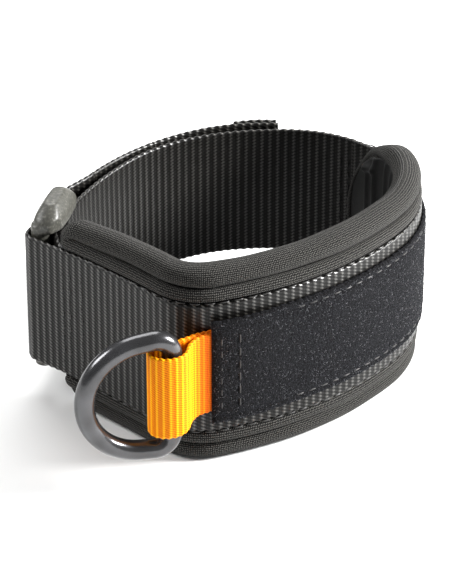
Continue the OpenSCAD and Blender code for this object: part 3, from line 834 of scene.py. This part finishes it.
angle = np.linspace(0, 2 * np.pi, 64, endpoint=False)[None, :]
level = np.linspace(0, 1, 24)[:, None]
shells = []
c, q = np.cos(angle), np.sin(angle)
head = (1, HEAD_H, HEAD_R, HEAD_R - BAR_R, HEAD_IN)
foot = (-1, FOOT_H, BAR_R, 0, 0)
for side, high, radius, near_end, inset in (head, foot):
    crown = 1 - 0.75 * np.clip((level - 0.38) / 0.62, 0, 1) ** 1.5
    half = (bar_span - near_end) / 2
    u = near_end + half + (half * np.clip(c * 2.2, -1, 1) + radius * c) * (0.35 + 0.65 * crown)
    v = radius * q * (0.25 + 0.75 * crown)
    over = np.maximum(-0.5 * (u - near_end) - 0.866 * v - 0.84 * radius, 0)
    u, v = u + 0.5 * over, v + 0.866 * over
    shells.append(on_buckle(u, v - inset, MID_Z + side * (SLOT_HALF + high * level)))
for at in (0, bar_span):
    up = np.linspace(-SLOT_HALF - 2, SLOT_HALF + 2, 40)[:, None]
    shells.append(on_buckle(at + BAR_R * np.cos(angle), BAR_R * np.sin(angle), MID_Z + up))
parts = [loft("buckle_part", points, moulded) for points in shells]
bpy.ops.object.select_all(action="DESELECT")
for part in parts:
    part.select_set(True)
bpy.context.view_layer.objects.active = parts[0]
bpy.ops.object.join()
buckle = bpy.context.object
buckle.name = "buckle_frame_visual"
remesh = buckle.modifiers.new("one moulding", "REMESH")
remesh.mode = "VOXEL"
remesh.voxel_size = 0.35 * MM
remesh.use_smooth_shade = True
soften = buckle.modifiers.new("soft corners", "SMOOTH")
soften.factor = 0.6
soften.iterations = 6
for modifier in ("one moulding", "soft corners"):
    bpy.ops.object.modifier_apply(modifier=modifier)
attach(buckle, "buckle")
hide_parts("buckle_frame")

# ---- Stitching ----
# Bonded black thread, 0.4 mm thick, in lock stitches 2.8 mm long and 4 mm apart.
thread = new_material("bonded nylon thread")
# Waxed twisted thread: black with a soft gloss along its top.
shader = add(thread, "ShaderNodeBsdfPrincipled", {"Base Color": linear("2E2D2C"), "Roughness": 0.35})
add(thread, "ShaderNodeOutputMaterial", {"Surface": shader.outputs["BSDF"]})
STITCH_L, STITCH_PITCH, THREAD_R = 2.8, 4.0, 0.2


def stitches(name, rows, body="cuff", long=STITCH_L, thick=THREAD_R):
    """Stitches as one piece. Each row is s, z and d of its stitches' middles, and their lean in degrees from
    s. Each stitch is an arch along its length that dips 0.4 mm into the cloth at both ends."""
    part = np.linspace(-1, 1, 7)[None, :]
    lines, outs = [], []
    for s, z, d, lean in rows:
        s, z, d = (np.ravel(v)[:, None] for v in np.broadcast_arrays(s, z, d))
        a = math.radians(lean)
        lines.append(wall(s + long / 2 * part * math.cos(a), d - 0.4 * part ** 4,
                          z + long / 2 * part * math.sin(a)))
        _, _, h = plan(s)
        outs.append(np.stack([np.sin(h), -np.cos(h), np.zeros_like(h)], -1))
    radius = thick * MM * np.sqrt(1 - 0.75 * part[0] ** 6)
    piece = tubes(name, np.concatenate(lines), np.concatenate(outs), radius, thread, sides=6)
    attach(piece, body)
    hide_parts(name)


def spaced(low, high):
    """Middles of the stitches of a seam from low to high."""
    return np.arange(low, high - STITCH_L, STITCH_PITCH) + STITCH_L / 2


seam = spaced(LAP_TO, PAD_TO - 3)
groove = WEB_W / 2 + 0.25
stitches("binding_stitching", [(seam, MID_Z + groove, 0.35, 0), (seam, MID_Z - groove, 0.35, 0)])
seam = spaced(TAB_TO + 3, TAIL_TIP - 3)
hem_z = LOOP_W / 2 - 2
stitches("panel_stitching", [(seam, MID_Z + hem_z, HALF_T + LOOP_T - 0.35, 0),
                             (seam, MID_Z - hem_z, HALF_T + LOOP_T - 0.35, 0)])
seam = spaced(MID_Z - WEB_W / 2 + 3, MID_Z + WEB_W / 2 - 3)
short = seam + rng.uniform(-0.5, 0.5, seam.shape)
stitches("keeper_stitching", [(at + rng.uniform(-0.35, 0.35, seam.shape), short, HALF_T - 0.02, 90)
                              for at in (14.5, 17.0, 21.5)], long=1.9, thick=0.17)
stitches("pad_end_stitching", [(at, seam, -HALF_T - 0.15, 90) for at in (PAD_TO + 1.5, PAD_TO + 4.1)],
         long=2.2, thick=0.16)
stitches("hem_stitching", [(at, seam, TAIL_D + 2.2 * WEB_T, 90) for at in (TAIL_TIP + 6.3, TAIL_TIP + 9.3)],
         body="tail_end")
seam = spaced(MID_Z - TAB_W / 2 + 1, MID_Z + TAB_W / 2 - 1)
stitches("tab_stitching", [(at, seam, HALF_T + TAB_PACK + LOOP_T - 0.1, 90)
                           for at in (TAB_FROM + 2.3, TAB_FROM + 7.3)])
